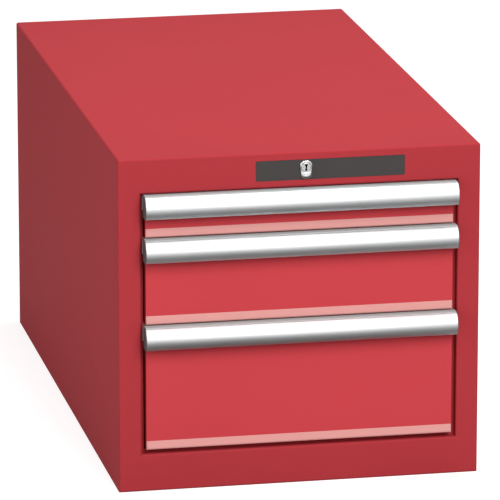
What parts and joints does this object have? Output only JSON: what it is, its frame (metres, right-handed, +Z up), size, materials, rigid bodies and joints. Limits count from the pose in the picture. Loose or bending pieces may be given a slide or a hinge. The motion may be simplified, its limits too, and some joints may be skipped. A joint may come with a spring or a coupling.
{
  "type": "workshop drawer cabinet",
  "caption": "Low red sheet-steel workshop cabinet with drawers on telescopic roller rails, full-width aluminium handle strips and a lock panel above them.",
  "frame": {"origin": "middle of the cabinet's underside, on the surface it stands on", "axes": "+Z up, -Y out of the drawer side, +X to the right seen from the drawer side"},
  "size_m": [0.411, 0.747, 0.383],
  "materials": {
    "housing_paint": "satin red powder coat with a fine orange peel",
    "drawer_paint": "satin red powder coat, the strip along the foot a paler red",
    "handle_aluminium": "satin anodised extrusion",
    "cap_plastic": "fine moulded texture",
    "lock_panel_plastic": "fine moulded texture",
    "lock_chrome": "bright plated",
    "zinc_steel": "zinc plated",
    "tray_paint": "light grey powder coat",
    "roller_plastic": "turned natural plastic",
    "buffer_rubber": "moulded rubber"
  },
  "bodies": {
    "housing": {"back_panel": "housing_paint", "back_screws": "zinc_steel", "base_panel": "zinc_steel", "cabinet_rail_left_1": "zinc_steel", "cabinet_rail_left_2": "zinc_steel", "cabinet_rail_left_3": "zinc_steel", "cabinet_rail_right_1": "zinc_steel", "cabinet_rail_right_2": "zinc_steel", "cabinet_rail_right_3": "zinc_steel", "front_frame": "housing_paint", "lock_bar_pins": "zinc_steel", "lock_barrel": "zinc_steel", "lock_escutcheon": "lock_chrome", "lock_panel": "lock_panel_plastic", "rail_buffers": "buffer_rubber", "side_panel_left": "housing_paint", "side_panel_right": "housing_paint", "top_cover": "housing_paint", "upright_front_left": "zinc_steel", "upright_front_right": "zinc_steel", "upright_rear_left": "zinc_steel", "upright_rear_right": "zinc_steel"},
    "carriages_1": {"carriages_1": "zinc_steel"},
    "carriages_2": {"carriages_2": "zinc_steel"},
    "carriages_3": {"carriages_3": "zinc_steel"},
    "drawer_1": {"drawer_1_catch": "zinc_steel", "drawer_1_front": "drawer_paint", "drawer_1_handle": "handle_aluminium", "drawer_1_handle_caps": "cap_plastic", "drawer_1_rails": "zinc_steel", "drawer_1_tray": "tray_paint"},
    "drawer_2": {"drawer_2_catch": "zinc_steel", "drawer_2_front": "drawer_paint", "drawer_2_handle": "handle_aluminium", "drawer_2_handle_caps": "cap_plastic", "drawer_2_rails": "zinc_steel", "drawer_2_tray": "tray_paint"},
    "drawer_3": {"drawer_3_catch": "zinc_steel", "drawer_3_front": "drawer_paint", "drawer_3_handle": "handle_aluminium", "drawer_3_handle_caps": "cap_plastic", "drawer_3_rails": "zinc_steel", "drawer_3_tray": "tray_paint"},
    "lock_bar": {"lock_bar": "zinc_steel"},
    "lock_cylinder": {"lock_cam": "zinc_steel", "lock_cam_screw": "zinc_steel", "lock_plug": "lock_chrome"},
    "rollers_inner_front_1": {"rollers_inner_front_1": "roller_plastic"},
    "rollers_inner_front_2": {"rollers_inner_front_2": "roller_plastic"},
    "rollers_inner_front_3": {"rollers_inner_front_3": "roller_plastic"},
    "rollers_inner_rear_1": {"rollers_inner_rear_1": "roller_plastic"},
    "rollers_inner_rear_2": {"rollers_inner_rear_2": "roller_plastic"},
    "rollers_inner_rear_3": {"rollers_inner_rear_3": "roller_plastic"},
    "rollers_outer_front_1": {"rollers_outer_front_1": "roller_plastic"},
    "rollers_outer_front_2": {"rollers_outer_front_2": "roller_plastic"},
    "rollers_outer_front_3": {"rollers_outer_front_3": "roller_plastic"},
    "rollers_outer_rear_1": {"rollers_outer_rear_1": "roller_plastic"},
    "rollers_outer_rear_2": {"rollers_outer_rear_2": "roller_plastic"},
    "rollers_outer_rear_3": {"rollers_outer_rear_3": "roller_plastic"}
  },
  "joints": [
    {"name": "drawer_1_slide", "type": "slide", "parent": "housing", "child": "drawer_1", "axis": [0, -1, 0], "range_m": [0, 0.62]},
    {"name": "carriages_1_slide", "type": "slide", "parent": "housing", "child": "carriages_1", "axis": [0, -1, 0], "range_m": [0, 0.31]},
    {"name": "rollers_inner_front_1_spin", "type": "hinge", "parent": "carriages_1", "child": "rollers_inner_front_1", "pos_m": [0, -0.304, 0.316], "axis": [1, 0, 0], "continuous": true},
    {"name": "rollers_inner_rear_1_spin", "type": "hinge", "parent": "carriages_1", "child": "rollers_inner_rear_1", "pos_m": [0, -0.0553, 0.316], "axis": [1, 0, 0], "continuous": true},
    {"name": "rollers_outer_front_1_spin", "type": "hinge", "parent": "carriages_1", "child": "rollers_outer_front_1", "pos_m": [0, 0.0032, 0.316], "axis": [1, 0, 0], "continuous": true},
    {"name": "rollers_outer_rear_1_spin", "type": "hinge", "parent": "carriages_1", "child": "rollers_outer_rear_1", "pos_m": [0, 0.1532, 0.316], "axis": [1, 0, 0], "continuous": true},
    {"name": "drawer_2_slide", "type": "slide", "parent": "housing", "child": "drawer_2", "axis": [0, -1, 0], "range_m": [0, 0.62]},
    {"name": "carriages_2_slide", "type": "slide", "parent": "housing", "child": "carriages_2", "axis": [0, -1, 0], "range_m": [0, 0.31]},
    {"name": "rollers_inner_front_2_spin", "type": "hinge", "parent": "carriages_2", "child": "rollers_inner_front_2", "pos_m": [0, -0.304, 0.216], "axis": [1, 0, 0], "continuous": true},
    {"name": "rollers_inner_rear_2_spin", "type": "hinge", "parent": "carriages_2", "child": "rollers_inner_rear_2", "pos_m": [0, -0.0553, 0.216], "axis": [1, 0, 0], "continuous": true},
    {"name": "rollers_outer_front_2_spin", "type": "hinge", "parent": "carriages_2", "child": "rollers_outer_front_2", "pos_m": [0, 0.0032, 0.216], "axis": [1, 0, 0], "continuous": true},
    {"name": "rollers_outer_rear_2_spin", "type": "hinge", "parent": "carriages_2", "child": "rollers_outer_rear_2", "pos_m": [0, 0.1532, 0.216], "axis": [1, 0, 0], "continuous": true},
    {"name": "drawer_3_slide", "type": "slide", "parent": "housing", "child": "drawer_3", "axis": [0, -1, 0], "range_m": [0, 0.62]},
    {"name": "carriages_3_slide", "type": "slide", "parent": "housing", "child": "carriages_3", "axis": [0, -1, 0], "range_m": [0, 0.31]},
    {"name": "rollers_inner_front_3_spin", "type": "hinge", "parent": "carriages_3", "child": "rollers_inner_front_3", "pos_m": [0, -0.304, 0.066], "axis": [1, 0, 0], "continuous": true},
    {"name": "rollers_inner_rear_3_spin", "type": "hinge", "parent": "carriages_3", "child": "rollers_inner_rear_3", "pos_m": [0, -0.0553, 0.066], "axis": [1, 0, 0], "continuous": true},
    {"name": "rollers_outer_front_3_spin", "type": "hinge", "parent": "carriages_3", "child": "rollers_outer_front_3", "pos_m": [0, 0.0032, 0.066], "axis": [1, 0, 0], "continuous": true},
    {"name": "rollers_outer_rear_3_spin", "type": "hinge", "parent": "carriages_3", "child": "rollers_outer_rear_3", "pos_m": [0, 0.1532, 0.066], "axis": [1, 0, 0], "continuous": true},
    {"name": "lock_bar_slide", "type": "slide", "parent": "housing", "child": "lock_bar", "axis": [-1, 0, 0], "range_m": [0, 0.0099]},
    {"name": "lock_plug_turn", "type": "hinge", "parent": "housing", "child": "lock_cylinder", "pos_m": [0.0061, -0.3625, 0.3655], "axis": [0, 1, 0], "range_deg": [0, 90]}
  ],
  "couplings": [
    {"joint": "carriages_1_slide", "follows": "drawer_1_slide", "ratio": 0.5},
    {"joint": "rollers_inner_front_1_spin", "follows": "drawer_1_slide", "rad_per_m": 39.37},
    {"joint": "rollers_inner_rear_1_spin", "follows": "drawer_1_slide", "rad_per_m": -39.37},
    {"joint": "rollers_outer_front_1_spin", "follows": "drawer_1_slide", "rad_per_m": 39.37},
    {"joint": "rollers_outer_rear_1_spin", "follows": "drawer_1_slide", "rad_per_m": -39.37},
    {"joint": "carriages_2_slide", "follows": "drawer_2_slide", "ratio": 0.5},
    {"joint": "rollers_inner_front_2_spin", "follows": "drawer_2_slide", "rad_per_m": 39.37},
    {"joint": "rollers_inner_rear_2_spin", "follows": "drawer_2_slide", "rad_per_m": -39.37},
    {"joint": "rollers_outer_front_2_spin", "follows": "drawer_2_slide", "rad_per_m": 39.37},
    {"joint": "rollers_outer_rear_2_spin", "follows": "drawer_2_slide", "rad_per_m": -39.37},
    {"joint": "carriages_3_slide", "follows": "drawer_3_slide", "ratio": 0.5},
    {"joint": "rollers_inner_front_3_spin", "follows": "drawer_3_slide", "rad_per_m": 39.37},
    {"joint": "rollers_inner_rear_3_spin", "follows": "drawer_3_slide", "rad_per_m": -39.37},
    {"joint": "rollers_outer_front_3_spin", "follows": "drawer_3_slide", "rad_per_m": 39.37},
    {"joint": "rollers_outer_rear_3_spin", "follows": "drawer_3_slide", "rad_per_m": -39.37},
    {"joint": "lock_plug_turn", "follows": "lock_bar_slide", "rad_per_m": 158.68}
  ]
}
